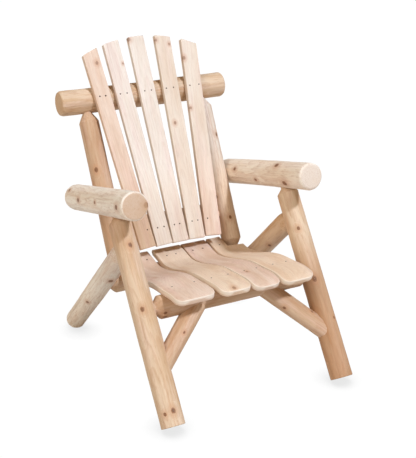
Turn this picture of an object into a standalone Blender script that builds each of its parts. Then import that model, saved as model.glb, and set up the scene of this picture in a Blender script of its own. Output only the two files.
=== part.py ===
"""Peeled-log armchair with a reclined fan back and a curved waterfall seat.

Blender metres, +Z up, -Y towards the front, +X towards the sitter's left.
The origin is on the floor under the middle of the chair.
Logs meet in round tenons and drilled mortises, and the slats are nailed to the rails.
Lengths in this file are millimetres: MM turns them into metres where meshes are made.
"""

from math import asin, cos, pi, radians, sin, sqrt, tan

import bmesh
import bpy
from mathutils import Vector

MM = 0.001
GAP = 0.3  # left between touching pieces
SIDES = (-1, 1)
SIDE_NAMES = {-1: "right", 1: "left"}

# Log stock
LEG_R = 38.0
REAR_LEG_R = 36.5
ARM_R = 45.8
POST_R = 36.0
BACK_RAIL_R = 45.0
FRONT_RAIL_R = 38.0
REAR_RAIL_R = 37.5
BRACE_R = 31.5
LOG_FACETS = 20

# Joints
TENON_R = 19.0
POST_TENON_R = 16.0
BRACE_TENON_R = 14.0
TENON_LENGTH = 30.0
LEG_SHOULDER = 20.0  # length of the pencil-point cone between a log and its tenon
RAIL_SHOULDER = 17.0
POST_FOOT_SHOULDER = 28.0
POST_HEAD_SHOULDER = 33.0
DOWEL_R = 9.5
DOWEL_LENGTH = 96.0
END_CHAMFER = 8.0

# Side frames: the legs' axes lie in the planes x = +-SIDE_X
SIDE_X = 317.0
FRONT_FOOT_Y = -456.0  # where a front leg's axis meets the floor
FRONT_LEAN = radians(33.8)
REAR_FOOT_Y = 410.6
REAR_LEAN = radians(46.7)
FOOT_FLAT = 2.0  # planed off level under each square-cut foot

# Armrests: right and left were fitted by hand and differ a little
ARM_UP_LEG = {-1: 751.8, 1: 749.0}  # from the floor along the leg's axis to the armrest's
ARM_SLOPE = {-1: radians(14.6), 1: radians(13.7)}
ARM_FRONT = 176.0
ARM_BACK = 385.0

# Rails
FRONT_RAIL_Z = 327.0
REAR_RAIL_Z = 270.0

# Back, measured up the posts from the rear seat rail's axis
BACK_LEAN = radians(27.35)
POST_X = {-1: 227.5, 1: 224.5}
TOP_RAIL_UP = 650.0
TOP_RAIL_HALF = 324.7
LOWER_RAIL_UP = 167.5

# Knee braces, in the plane of the two front legs
BRACE_RAIL_X = {-1: 117.0, 1: 110.5}
BRACE_LEG_Z = {-1: 163.0, 1: 146.0}

# Back slats: a fan of straight boards sawn to one arc at the top
SLAT_WIDTHS = (58.5, 60.5, 60.5, 61.0, 57.5)
SLAT_THICK = 18.0
SLAT_FOOT_X = (-126.0, -65.0, -5.0, 55.5, 117.5)
SLAT_FAN_X = (-190.0, -104.5, -7.0, 94.5, 195.5)  # the same centre lines, FAN_RISE higher
FAN_RISE = 787.6
SLAT_FOOT_UP = 91.0
SLAT_APEX_UP = 848.5
SLAT_ARC_X = 6.0
SLAT_ARC_R = 522.0
SLAT_ARC_STEPS = 5

# Seat slats
SEAT_THICK = 20.0
SEAT_EDGES = ((-249.0, -109.0), (-91.0, 19.5), (24.0, 121.5), (129.0, 248.0))
SEAT_NOSES = (26.0, 20.0, 8.0, 4.0)  # how much shorter than the line each slat is in front
SEAT_LINE = (  # (y, z) along the top, from the nose to the rear end
    (-371.0, 378.0), (-358.0, 384.0), (-342.0, 388.5), (-322.0, 391.5), (-300.0, 392.5),
    (-275.0, 391.0),
    (-237.0, 386.4), (-162.0, 379.0), (-102.0, 365.0), (-42.0, 346.0), (18.0, 328.5),
    (78.0, 320.5), (125.0, 329.6), (180.0, 340.0),
)
SEAT_CORNER_R = 28.0
SEAT_FRONT_STATIONS = (0.0, 1.5, 5.0, 11.0, 20.0)
SEAT_STATIONS = 26
POST_NOTCH_X = {-1: 187.0, 1: 185.0}  # the outer slats are notched round the back posts
POST_NOTCH_Y = 108.0

# Nails: x of each nail, in one row for each rail
NAIL_LENGTH = 48.0
NAIL_R = 1.7
NAIL_HEAD_R = 3.3
NAIL_HEAD = 1.5
NAIL_PROUD = 0.5
NAIL_FACETS = 6
BACK_TOP_NAILS = ((-191.0, -169.0), (-113.0, -87.0), (-18.0, 8.0), (68.0, 97.0), (164.0, 201.0))
BACK_LOWER_NAILS = ((-124.0,), (-84.0, -59.0), (-18.0, 3.0), (53.0, 76.0), (116.0,))
BACK_TOP_NAILS_UP = 646.0
BACK_LOWER_NAILS_UP = 154.5
SEAT_FRONT_NAILS = ((-211.0, -131.0), (-68.0, -7.0), (55.0, 102.0), (166.0, 218.0))
SEAT_FRONT_NAILS_BACK = 8.0  # behind the front rail's axis
SEAT_REAR_NAILS = ((-135.0,), (-57.0, -21.0), (48.0, 88.0), (158.0,))


def clear_scene():
    for obj in list(bpy.data.objects):
        bpy.data.objects.remove(obj, do_unlink=True)


def make_material(name, colour, roughness, metallic=0.0):
    material = bpy.data.materials.new(name)
    material.use_nodes = True
    shader = material.node_tree.nodes["Principled BSDF"]
    shader.inputs["Base Color"].default_value = (*colour, 1.0)
    shader.inputs["Roughness"].default_value = roughness
    shader.inputs["Metallic"].default_value = metallic
    return material


def add_object(name, bm, material, location=None, rotation=None):
    """Turns a bmesh into a named, smooth-shaded object under the chair's empty."""
    bmesh.ops.recalc_face_normals(bm, faces=bm.faces)
    mesh = bpy.data.meshes.new(name)
    bm.to_mesh(mesh)
    bm.free()
    mesh.shade_smooth()
    mesh.set_sharp_from_angle(angle=radians(30))
    obj = bpy.data.objects.new(name, mesh)
    bpy.context.scene.collection.objects.link(obj)
    if material is not None:
        mesh.materials.append(material)
    if location is not None:
        obj.location = location
        obj.rotation_mode = "QUATERNION"
        obj.rotation_quaternion = rotation
    obj.parent = CHAIR
    return obj


def as_cutter(obj):
    obj.hide_render = True
    obj.display_type = "WIRE"
    return obj


def boolean(obj, other, operation="DIFFERENCE"):
    modifier = obj.modifiers.new(other.name, "BOOLEAN")
    modifier.operation = operation
    modifier.solver = "EXACT"
    modifier.object = other


# --- Turned pieces ---------------------------------------------------------------------


def spin_profile(profile, facets, grow=0.0):
    """A closed solid turned about +Z from (distance, radius) pairs, grown all round."""
    bm = bmesh.new()
    first, last = profile[0][0] - grow, profile[-1][0] + grow
    outline = [(0.0, first)]
    for index, (distance, radius) in enumerate(profile):
        if index == 0:
            distance = first
        elif index == len(profile) - 1:
            distance = last
        outline.append((radius + grow, distance))
    outline.append((0.0, last))
    verts = [bm.verts.new((radius * MM, 0.0, distance * MM)) for radius, distance in outline]
    edges = [bm.edges.new(pair) for pair in zip(verts, verts[1:])]
    bmesh.ops.spin(
        bm, geom=verts + edges, cent=(0, 0, 0), axis=(0, 0, 1), angle=2 * pi, steps=facets
    )
    bmesh.ops.remove_doubles(bm, verts=bm.verts, dist=1e-7)
    return bm


def turned(name, start, direction, profile, material, facets=LOG_FACETS, grow=0.0):
    """A turned piece whose profile runs from start along direction."""
    bm = spin_profile(profile, facets, grow)
    return add_object(name, bm, material, start * MM, direction.to_track_quat("Z", "Y"))


def turned_cutter(name, start, direction, profile):
    """The same piece grown by the gap, to cut its mortise with."""
    return as_cutter(turned(name, start, direction, profile, None, grow=GAP))


def chamfered(length, radius):
    return [
        (0.0, radius - END_CHAMFER),
        (END_CHAMFER, radius),
        (length - END_CHAMFER, radius),
        (length, radius - END_CHAMFER),
    ]


def tenoned_both_ends(length, radius, tenon_r, first, last):
    """A log with a tenon on each end. first and last are the shoulder cones' lengths."""
    return [
        (0.0, tenon_r),
        (TENON_LENGTH, tenon_r),
        (TENON_LENGTH + first, radius),
        (length - TENON_LENGTH - last, radius),
        (length - TENON_LENGTH, tenon_r),
        (length, tenon_r),
    ]


# --- Side frames -----------------------------------------------------------------------

FRONT_UP = Vector((0.0, sin(FRONT_LEAN), cos(FRONT_LEAN)))
REAR_UP = Vector((0.0, -sin(REAR_LEAN), cos(REAR_LEAN)))
ARM_DOWN = {side: Vector((0.0, cos(slope), -sin(slope))) for side, slope in ARM_SLOPE.items()}
BACK_UP = Vector((0.0, sin(BACK_LEAN), cos(BACK_LEAN)))
BACK_FORWARD = Vector((0.0, -cos(BACK_LEAN), sin(BACK_LEAN)))
ACROSS = Vector((1.0, 0.0, 0.0))


def front_leg_point(side, height):
    return Vector((side * SIDE_X, FRONT_FOOT_Y + height * tan(FRONT_LEAN), height))


def rear_leg_point(side, height):
    return Vector((side * SIDE_X, REAR_FOOT_Y - height * tan(REAR_LEAN), height))


def reach_to_crossing(point, direction, other_point, other_direction):
    """Distance along the first line to where the two cross, seen from the side."""
    offset = other_point - point
    cross = direction.y * other_direction.z - direction.z * other_direction.y
    return (offset.y * other_direction.z - offset.z * other_direction.y) / cross


def back_point(x, up, forward=0.0):
    """A point of the back: x, distance up the posts' plane, distance in front of it."""
    centre = rear_leg_point(0, REAR_RAIL_Z)
    return centre + ACROSS * x + BACK_UP * up + BACK_FORWARD * forward


def foot_rise(radius, lean):
    """From the floor along a leg's axis to the middle of its square-cut end."""
    return radius * tan(lean) - FOOT_FLAT / cos(lean)


def front_leg_shape(side):
    arm_below = ARM_R / sin(pi / 2 + ARM_SLOPE[side] - FRONT_LEAN)
    rise = foot_rise(LEG_R, FRONT_LEAN)
    shoulder = ARM_UP_LEG[side] - arm_below - rise
    profile = [
        (0.0, LEG_R),
        (shoulder - LEG_SHOULDER, LEG_R),
        (shoulder, TENON_R),
        (shoulder + TENON_LENGTH, TENON_R),
    ]
    return front_leg_point(side, 0.0) + FRONT_UP * rise, FRONT_UP, profile


def rear_leg_shape(side):
    foot = rear_leg_point(side, 0.0)
    crossing = reach_to_crossing(foot, REAR_UP, front_leg_point(side, 0.0), FRONT_UP)
    rise = foot_rise(REAR_LEG_R, REAR_LEAN)
    shoulder = crossing - LEG_R / sin(FRONT_LEAN + REAR_LEAN) - rise
    profile = [
        (0.0, REAR_LEG_R),
        (shoulder - LEG_SHOULDER - END_CHAMFER, REAR_LEG_R),
        (shoulder, TENON_R),
        (shoulder + TENON_LENGTH, TENON_R),
    ]
    return foot + REAR_UP * rise, REAR_UP, profile


def arm_axis(side):
    """Where an armrest crosses its front leg, its direction, and its reach to the post."""
    on_leg = front_leg_point(side, ARM_UP_LEG[side] * cos(FRONT_LEAN))
    reach = reach_to_crossing(on_leg, ARM_DOWN[side], back_point(0, 0), BACK_UP)
    toe = asin((SIDE_X - POST_X[side] - POST_R - ARM_R - 2 * GAP) / reach)
    direction = ARM_DOWN[side] * cos(toe) - ACROSS * side * sin(toe)
    return on_leg, direction, reach


def arm_shape(side):
    on_leg, direction, _ = arm_axis(side)
    return on_leg - direction * ARM_FRONT, direction, chamfered(ARM_FRONT + ARM_BACK, ARM_R)


def arm_dowel_shape(side):
    """A blind dowel from the middle of the post to the middle of the armrest."""
    on_leg, direction, reach = arm_axis(side)
    in_arm = on_leg + direction * reach
    out = ACROSS * side
    start = Vector((side * (POST_X[side] + POST_R - DOWEL_LENGTH / 2), in_arm.y, in_arm.z))
    return start, out, [(0.0, DOWEL_R), (DOWEL_LENGTH, DOWEL_R)]


# --- Rails, posts and braces -----------------------------------------------------------


def seat_rail_shape(centre, radius, leg_r):
    half = SIDE_X - leg_r + TENON_LENGTH
    profile = tenoned_both_ends(2 * half, radius, TENON_R, RAIL_SHOULDER, RAIL_SHOULDER)
    return centre - ACROSS * half, ACROSS, profile


def post_shape(side):
    start = REAR_RAIL_R - TENON_LENGTH
    end = TOP_RAIL_UP - BACK_RAIL_R + TENON_LENGTH
    profile = tenoned_both_ends(
        end - start, POST_R, POST_TENON_R, POST_FOOT_SHOULDER, POST_HEAD_SHOULDER
    )
    return back_point(side * POST_X[side], start), BACK_UP, profile


def top_rail_shape():
    start = back_point(-TOP_RAIL_HALF, TOP_RAIL_UP)
    return start, ACROSS, chamfered(2 * TOP_RAIL_HALF, BACK_RAIL_R)


def lower_rail_shape():
    first, last = (side * (POST_X[side] - POST_R + TENON_LENGTH) for side in SIDES)
    profile = tenoned_both_ends(
        last - first, BACK_RAIL_R, POST_TENON_R, RAIL_SHOULDER, RAIL_SHOULDER
    )
    return back_point(first, LOWER_RAIL_UP), ACROSS, profile


def brace_ends(side):
    """The knee brace's axis, from the leg's axis to the front rail's axis."""
    on_leg = front_leg_point(side, BRACE_LEG_Z[side])
    on_rail = front_leg_point(side, FRONT_RAIL_Z)
    on_rail.x = side * BRACE_RAIL_X[side]
    return on_leg, on_rail


def brace_core_shape(side):
    """The stretch of a brace that its two tenons and their middle take up."""
    on_leg, on_rail = brace_ends(side)
    direction = (on_rail - on_leg).normalized()
    at_leg = LEG_R / direction.cross(FRONT_UP).length - TENON_LENGTH
    at_rail = FRONT_RAIL_R / direction.cross(ACROSS).length - TENON_LENGTH
    length = (on_rail - on_leg).length - at_leg - at_rail
    return on_leg + direction * at_leg, direction, [(0.0, BRACE_TENON_R), (length, BRACE_TENON_R)]


def make_brace(side, leg_cutter, rail_cutter, material):
    """A log coped over the leg and the rail, with a round tenon at each end."""
    on_leg, on_rail = brace_ends(side)
    direction = (on_rail - on_leg).normalized()
    profile = [(0.0, BRACE_R), ((on_rail - on_leg).length, BRACE_R)]
    name = f"knee_brace_{SIDE_NAMES[side]}"
    brace = turned(name, on_leg, direction, profile, material)
    boolean(brace, leg_cutter)
    boolean(brace, rail_cutter)
    start, direction, profile = brace_core_shape(side)
    core = as_cutter(turned(f"core_{name}", start, direction, profile, None))
    boolean(brace, core, "UNION")
    return brace


# --- Back slats ------------------------------------------------------------------------


def slat_outline(foot_x, fan_x, width):
    """The board's outline in the plane of the back, as (x, up) points."""
    along = Vector((fan_x - foot_x, FAN_RISE)).normalized()
    across = Vector((along.y, -along.x))
    foot = Vector((foot_x, 0.0)) + along * SLAT_FOOT_UP
    arc_centre = Vector((SLAT_ARC_X, SLAT_APEX_UP - SLAT_ARC_R))
    outline = []
    for offset in (-width / 2, width / 2):
        outline.append(foot + across * offset)
    for step in range(SLAT_ARC_STEPS + 1):
        offset = width * (0.5 - step / SLAT_ARC_STEPS)
        start = foot + across * offset - arc_centre
        half = start.dot(along)
        reach = -half + sqrt(half * half - start.length_squared + SLAT_ARC_R**2)
        outline.append(start + arc_centre + along * reach)
    return outline


def make_back_slat(name, foot_x, fan_x, width, material):
    bm = bmesh.new()
    front = BACK_RAIL_R + GAP + SLAT_THICK
    outline = slat_outline(foot_x, fan_x, width)
    corners = [bm.verts.new(back_point(x, up, front) * MM) for x, up in outline]
    face = bm.faces.new(corners)
    grown = bmesh.ops.extrude_face_region(bm, geom=[face])
    moved = [item for item in grown["geom"] if isinstance(item, bmesh.types.BMVert)]
    bmesh.ops.translate(bm, verts=moved, vec=-BACK_FORWARD * SLAT_THICK * MM)
    return add_object(name, bm, material)


# --- Seat slats ------------------------------------------------------------------------


def smooth_line(points, steps):
    """Points along a Catmull-Rom curve through the given (y, z) points."""
    ends = [2 * Vector(points[0]) - Vector(points[1]), 2 * Vector(points[-1]) - Vector(points[-2])]
    knots = [ends[0], *map(Vector, points), ends[1]]
    line = []
    for a, b, c, d in zip(knots, knots[1:], knots[2:], knots[3:]):
        for step in range(steps):
            t = step / steps
            line.append(
                0.5 * (2 * b + (c - a) * t + (2 * a - 5 * b + 4 * c - d) * t**2
                       + (3 * b - a - 3 * c + d) * t**3)
            )
    line.append(knots[-2])
    return line


class SeatCurve:
    """The seat's top line in side view, read by the distance from its nose."""

    def __init__(self):
        self.line = smooth_line(SEAT_LINE, 8)
        self.runs = [0.0]
        for a, b in zip(self.line, self.line[1:]):
            self.runs.append(self.runs[-1] + (b - a).length)
        self.length = self.runs[-1]

    def at(self, run):
        """(point on the top, unit normal pointing up and out), as (y, z) vectors."""
        index = 0
        while index < len(self.line) - 2 and self.runs[index + 1] < run:
            index += 1
        a, b = self.line[index], self.line[index + 1]
        share = (run - self.runs[index]) / (self.runs[index + 1] - self.runs[index])
        before = self.line[max(index - 1, 0)]
        after = self.line[min(index + 2, len(self.line) - 1)]
        slope = (1 - share) * (b - before).normalized() + share * (after - a).normalized()
        slope.normalize()
        return a.lerp(b, share), Vector((-slope.y, slope.x))

    def run_at_y(self, y):
        for index, (a, b) in enumerate(zip(self.line, self.line[1:])):
            if a.x <= y <= b.x:
                return self.runs[index] + (b - a).length * (y - a.x) / (b.x - a.x)
        return self.length


def seat_runs(curve, nose):
    """Distances along the seat where a slat has a section: close together at its nose."""
    runs = [nose + run for run in SEAT_FRONT_STATIONS]
    step = (curve.length - nose - SEAT_CORNER_R) / SEAT_STATIONS
    runs += [nose + SEAT_CORNER_R + step * index for index in range(SEAT_STATIONS + 1)]
    return runs


def corner_inset(run):
    """How far the rounded front corner draws a slat's edge in."""
    if run >= SEAT_CORNER_R:
        return 0.0
    return SEAT_CORNER_R - sqrt(SEAT_CORNER_R**2 - (SEAT_CORNER_R - run) ** 2)


def make_seat_slat(name, left_x, right_x, nose, curve, material):
    bm = bmesh.new()
    sections = []
    for run in seat_runs(curve, nose):
        top, normal = curve.at(run)
        low = top - normal * SEAT_THICK
        inset = corner_inset(run - nose)
        edges = (left_x + inset, right_x - inset)
        ring = [(edges[0], top), (edges[1], top), (edges[1], low), (edges[0], low)]
        sections.append([bm.verts.new(Vector((x, p.x, p.y)) * MM) for x, p in ring])
    for ring, following in zip(sections, sections[1:]):
        for corner in range(4):
            after = (corner + 1) % 4
            bm.faces.new((ring[corner], ring[after], following[after], following[corner]))
    bm.faces.new(sections[0])
    bm.faces.new(sections[-1])
    return add_object(name, bm, material)


def notch_cutter(side):
    """The block sawn out of an outer seat slat so that it clears the back post."""
    bm = bmesh.new()
    bmesh.ops.create_cube(bm, size=1.0)
    size = Vector((200.0, 200.0, 200.0))
    centre_x = side * (POST_NOTCH_X[side] + size.x / 2)
    centre = Vector((centre_x, POST_NOTCH_Y + size.y / 2, REAR_RAIL_Z))
    for vert in bm.verts:
        vert.co = (centre + vert.co * size) * MM
    return as_cutter(add_object(f"cut_notch_{SIDE_NAMES[side]}", bm, None))


# --- Nails -----------------------------------------------------------------------------


def nail_shape(surface, inwards):
    """A nail driven from a point of a surface, with its head just proud of it."""
    start = surface - inwards * NAIL_PROUD
    profile = [
        (0.0, NAIL_HEAD_R - 1.0),
        (NAIL_PROUD, NAIL_HEAD_R),
        (NAIL_HEAD, NAIL_HEAD_R),
        (NAIL_HEAD, NAIL_R),
        (NAIL_LENGTH - 4 * NAIL_R, NAIL_R),
        (NAIL_LENGTH, NAIL_R / 4),
    ]
    return start, inwards, profile


def holes_cutter(name, nails):
    """One cutter with a hole for each nail: a shank hole below a seat for the head."""
    whole = bmesh.new()
    for start, direction, _ in nails:
        head_bottom = NAIL_HEAD + GAP
        profile = [
            (-2 * NAIL_HEAD, NAIL_HEAD_R + GAP),
            (head_bottom, NAIL_HEAD_R + GAP),
            (head_bottom, NAIL_R + GAP),
            (NAIL_LENGTH + GAP, NAIL_R + GAP),
        ]
        one = spin_profile(profile, NAIL_FACETS)
        place = direction.to_track_quat("Z", "Y").to_matrix().to_4x4()
        place.translation = start * MM
        bmesh.ops.transform(one, matrix=place, verts=one.verts)
        bmesh.ops.recalc_face_normals(one, faces=one.faces)
        piece = bpy.data.meshes.new("hole")
        one.to_mesh(piece)
        one.free()
        whole.from_mesh(piece)
        bpy.data.meshes.remove(piece)
    return as_cutter(add_object(name, whole, None))


def drive_row(row_name, groups, slats, rail, shape_at, material):
    """Makes one row of nails. Returns {slat name: its nails' shapes} for the slats' holes."""
    driven = {}
    number = 0
    for slat, places in zip(slats, groups):
        for x in places:
            number += 1
            shape = shape_at(x)
            turned(f"{row_name}_nail_{number:02d}", *shape, material, NAIL_FACETS)
            driven.setdefault(slat.name, []).append(shape)
    every = [shape for shapes in driven.values() for shape in shapes]
    boolean(rail, holes_cutter(f"cut_{row_name}_holes", every))
    return driven


# --- Assembly --------------------------------------------------------------------------


def make_side(side, front_rail_cutter, rear_rail_cutter, materials):
    """One side's legs, armrest, post, brace and dowel, with their mortises."""
    word = SIDE_NAMES[side]
    log = materials["log"]
    shapes = {
        "front_leg": front_leg_shape(side),
        "rear_leg": rear_leg_shape(side),
        "armrest": arm_shape(side),
        "back_post": post_shape(side),
    }
    logs = {name: turned(f"{name}_{word}", *shape, log) for name, shape in shapes.items()}
    cutters = {
        name: turned_cutter(f"cut_{name}_{word}", *shape) for name, shape in shapes.items()
    }
    dowel = arm_dowel_shape(side)
    turned(f"arm_dowel_{word}", *dowel, materials["dowel"])
    dowel_cutter = turned_cutter(f"cut_arm_dowel_{word}", *dowel)
    make_brace(side, cutters["front_leg"], front_rail_cutter, log)
    brace_cutter = turned_cutter(f"cut_knee_brace_{word}", *brace_core_shape(side))
    for cutter in (cutters["rear_leg"], front_rail_cutter, brace_cutter, FLOOR):
        boolean(logs["front_leg"], cutter)
    for cutter in (rear_rail_cutter, FLOOR):
        boolean(logs["rear_leg"], cutter)
    for cutter in (cutters["front_leg"], dowel_cutter):
        boolean(logs["armrest"], cutter)
    boolean(logs["back_post"], dowel_cutter)
    return logs["back_post"], cutters["back_post"], brace_cutter


def floor_cutter():
    bm = bmesh.new()
    bmesh.ops.create_cube(bm, size=1.0)
    for vert in bm.verts:
        vert.co = Vector((vert.co.x * 2.0, vert.co.y * 2.0, (vert.co.z - 0.5) * 0.1))
    return as_cutter(add_object("cut_floor", bm, None))


def make_frame(materials):
    """All the logs. Returns the rails by name."""
    log = materials["log"]
    shapes = {
        "front_seat_rail": seat_rail_shape(front_leg_point(0, FRONT_RAIL_Z), FRONT_RAIL_R, LEG_R),
        "rear_seat_rail": seat_rail_shape(back_point(0, 0), REAR_RAIL_R, REAR_LEG_R),
        "top_back_rail": top_rail_shape(),
        "lower_back_rail": lower_rail_shape(),
    }
    rails = {name: turned(name, *shape, log) for name, shape in shapes.items()}
    cutters = {name: turned_cutter(f"cut_{name}", *shape) for name, shape in shapes.items()}
    for side in SIDES:
        post, post_cutter, brace_cutter = make_side(
            side, cutters["front_seat_rail"], cutters["rear_seat_rail"], materials
        )
        boolean(post, cutters["lower_back_rail"])
        boolean(rails["top_back_rail"], post_cutter)
        boolean(rails["rear_seat_rail"], post_cutter)
        boolean(rails["front_seat_rail"], brace_cutter)
    return rails


def make_back(rails, materials):
    slats = []
    for number, shape in enumerate(zip(SLAT_FOOT_X, SLAT_FAN_X, SLAT_WIDTHS), 1):
        slats.append(make_back_slat(f"back_slat_{number}", *shape, materials["slat"]))
    front = BACK_RAIL_R + GAP + SLAT_THICK
    holes = {slat.name: [] for slat in slats}
    rows = (
        ("back_top", BACK_TOP_NAILS, BACK_TOP_NAILS_UP, "top_back_rail"),
        ("back_lower", BACK_LOWER_NAILS, BACK_LOWER_NAILS_UP, "lower_back_rail"),
    )
    for row_name, groups, up, rail in rows:
        driven = drive_row(
            row_name, groups, slats, rails[rail],
            lambda x: nail_shape(back_point(x, up, front), -BACK_FORWARD), materials["nail"],
        )
        for name, shapes in driven.items():
            holes[name] += shapes
    for slat in slats:
        boolean(slat, holes_cutter(f"cut_{slat.name}_holes", holes[slat.name]))


def make_seat(rails, materials):
    curve = SeatCurve()
    slats = []
    for number, (edges, nose) in enumerate(zip(SEAT_EDGES, SEAT_NOSES), 1):
        slats.append(
            make_seat_slat(f"seat_slat_{number}", *edges, nose, curve, materials["slat"])
        )
    boolean(slats[0], notch_cutter(-1))
    boolean(slats[-1], notch_cutter(1))

    def nail_at(x, y):
        top, normal = curve.at(curve.run_at_y(y))
        return nail_shape(Vector((x, top.x, top.y)), -Vector((0.0, normal.x, normal.y)))

    holes = {slat.name: [] for slat in slats}
    front_y = front_leg_point(0, FRONT_RAIL_Z).y + SEAT_FRONT_NAILS_BACK
    rear_y = rear_leg_point(0, REAR_RAIL_Z).y
    rows = (
        ("seat_front", SEAT_FRONT_NAILS, front_y, "front_seat_rail"),
        ("seat_rear", SEAT_REAR_NAILS, rear_y, "rear_seat_rail"),
    )
    for row_name, groups, y, rail in rows:
        driven = drive_row(
            row_name, groups, slats, rails[rail], lambda x: nail_at(x, y), materials["nail"]
        )
        for name, shapes in driven.items():
            holes[name] += shapes
    for slat in slats:
        boolean(slat, holes_cutter(f"cut_{slat.name}_holes", holes[slat.name]))


def main():
    materials = {
        "log": make_material("peeled_cedar", (0.66, 0.45, 0.29), 0.6),
        "slat": make_material("planed_cedar", (0.80, 0.64, 0.46), 0.55),
        "dowel": make_material("birch_dowel", (0.72, 0.55, 0.38), 0.6),
        "nail": make_material("dark_steel", (0.10, 0.08, 0.07), 0.5, 0.8),
    }
    rails = make_frame(materials)
    make_back(rails, materials)
    make_seat(rails, materials)


clear_scene()
CHAIR = bpy.data.objects.new("chair", None)
bpy.context.scene.collection.objects.link(CHAIR)
FLOOR = floor_cutter()
main()
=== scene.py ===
"""Looks of the peeled-log armchair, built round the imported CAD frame.

Every log, board and nail replaces the CAD node of its own name. A piece is modelled in its
own frame, +Z along the grain, and its object's matrix puts it where the CAD node is.
Lengths are metres unless a comment says millimetres.
"""

from math import cos, hypot, pi, radians, sin, sqrt
from operator import itemgetter

import bmesh
import bpy
import numpy as np
from mathutils import Euler, Matrix, Vector
from mathutils.bvhtree import BVHTree


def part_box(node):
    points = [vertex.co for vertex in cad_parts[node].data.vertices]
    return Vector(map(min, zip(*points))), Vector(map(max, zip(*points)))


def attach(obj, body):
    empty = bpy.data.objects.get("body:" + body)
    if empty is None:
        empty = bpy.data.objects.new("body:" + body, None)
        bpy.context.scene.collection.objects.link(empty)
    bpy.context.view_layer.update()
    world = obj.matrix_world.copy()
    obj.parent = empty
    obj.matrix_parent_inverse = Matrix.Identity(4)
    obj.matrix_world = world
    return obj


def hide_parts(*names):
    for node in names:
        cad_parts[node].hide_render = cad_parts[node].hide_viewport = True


MM = 0.001
FRONT = Vector((0.0, -1.0, 0.0))
SIDES = {"right": -1, "left": 1}  # the sitter's sides

# The design's own sizes, which the CAD's boxes don't give directly.
ARM_R = 45.8 * MM
BRACE_R = 31.5 * MM
TENON_R = 19 * MM
POST_TENON_R = 16 * MM
TENON_LENGTH = 30 * MM
END_CHAMFER = 8 * MM
FOOT_EDGE = 1.6 * MM  # broken edge of a square-cut foot
FOOT_SUNK = 2 * MM  # what the floor planes off a square-cut foot
BRACE_EDGE = 1 * MM
RAIL_SHOULDER = 17 * MM
LEG_SHOULDER = 20 * MM
POST_FOOT_SHOULDER = 28 * MM
POST_HEAD_SHOULDER = 33 * MM
BRACE_RAIL_X = {"right": 0.117, "left": 0.1105}
BRACE_LEG_Z = {"right": 0.163, "left": 0.146}
# How far a sawn and sanded end falls short of the full radius: (distance, drop) in mm.
SOFT_END = ((1.2, 8.6), (1.7, 6.6), (3.2, 4.0), (5.6, 1.9), (8.6, 0.5), (12.0, 0.0))
SEAT_THICK = 20 * MM
SEAT_CORNER_R = 28 * MM
SEAT_EDGE_R = 3.2 * MM
NOTCH_X = {-1: 0.187, 1: 0.185}  # an outer seat slat's tongue ends here, beside the post
NOTCH_Y = 0.108
BACK_EDGE_R = 1.6 * MM

# The main view: from the front, on the sitter's right and above the armrests.
CAMERA_AZIMUTH = -28.3
CAMERA_ELEVATION = 21.5
CAMERA_DISTANCE = 3.364
CAMERA_AIM = Vector((0.0203, -0.042, 0.4744))
CAMERA_LENS = 85.36

# Suns: where from, strength, apparent size in degrees and colour.
KEY = ((0.36, -0.82, 1.0), 2.35, 5.0, (0.95, 1.07, 1.25))
FILL = ((-0.9, -0.35, 0.75), 1.3, 45.0, (1.0, 0.96, 0.9))
BOUNCE_COLOUR = (1.0, 0.74, 0.44, 1.0)  # the light of all directions, warmed by the wood
BOUNCE_STRENGTH = 0.26
WHITE = (1.0, 1.0, 1.0, 1.0)
BACKDROP_STRENGTH = 1.05  # what the camera sees behind the chair

RING_STEP = 5 * MM  # between a log's sections
COLUMNS = 64  # round a log, before those of its drying checks
CHECK_OFFSETS = (-1.6, -0.62, -0.36, 0.0, 0.36, 0.62, 1.6)  # columns across a check, in its widths
CHECK_LIP = 0.62  # where its walls reach the surface
CHECK_CLEAR = 3.2 * MM
CAP_SHARES = (0.93, 0.78, 0.58, 0.36, 0.16)  # rings across a log's end
SETTLING_ROUNDS = 80


def smooth_step(low, high, value):
    """0 below low, 1 above high, and a smooth curve between. Either may be the larger."""
    share = np.clip((value - low) / (high - low), 0.0, 1.0)
    return share * share * (3 - 2 * share)


class Waves:
    """A smooth pseudo-random field of an angle and a length: a sum of a few waves."""

    def __init__(self, rng, count, turns, length_scale):
        self.turns = rng.integers(0, turns + 1, count)
        self.rates = rng.normal(0.0, 2 * pi / length_scale, count)
        self.phases = rng.uniform(0.0, 2 * pi, count)
        self.sizes = rng.normal(0.0, 1.0, count) / sqrt(count)

    def __call__(self, angle, length):
        total = 0.0
        for turn, rate, phase, size in zip(self.turns, self.rates, self.phases, self.sizes):
            total = total + size * np.cos(turn * angle + rate * length + phase)
        return total


# --- Places, read from the frame -------------------------------------------------------


def ring_reach(rings, slope):
    """How far a turned end stands out along an axis that its own axis meets at that slope."""
    spread = sqrt(max(0.0, 1 - slope * slope))
    return max(radius * spread - distance * abs(slope) for distance, radius in rings)


def turned_axis(node, heading, first_rings, last_rings, sunk=0.0):
    """The axis of a turned CAD node: the two end points whose solid has the node's box."""
    low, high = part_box(node)
    low.z -= sunk
    direction = Vector(heading).normalized()
    for _ in range(SETTLING_ROUNDS):
        start, end = Vector(), Vector()
        for axis in range(3):
            if heading[axis] == 0:
                start[axis] = end[axis] = (low[axis] + high[axis]) / 2
                continue
            first = ring_reach(first_rings, direction[axis])
            last = ring_reach(last_rings, direction[axis])
            if heading[axis] > 0:
                start[axis], end[axis] = low[axis] + first, high[axis] - last
            else:
                start[axis], end[axis] = high[axis] - first, low[axis] + last
        direction = (end - start).normalized()
    return start, end


def log_matrix(start, end):
    """A log's own frame: +Z along it, and +X the side nearest the front."""
    along = (end - start).normalized()
    front = (FRONT - along * FRONT.dot(along)).normalized()
    across = along.cross(front)
    turn = Matrix((front, across, along)).transposed()
    return Matrix.Translation(start) @ turn.to_4x4()


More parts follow.
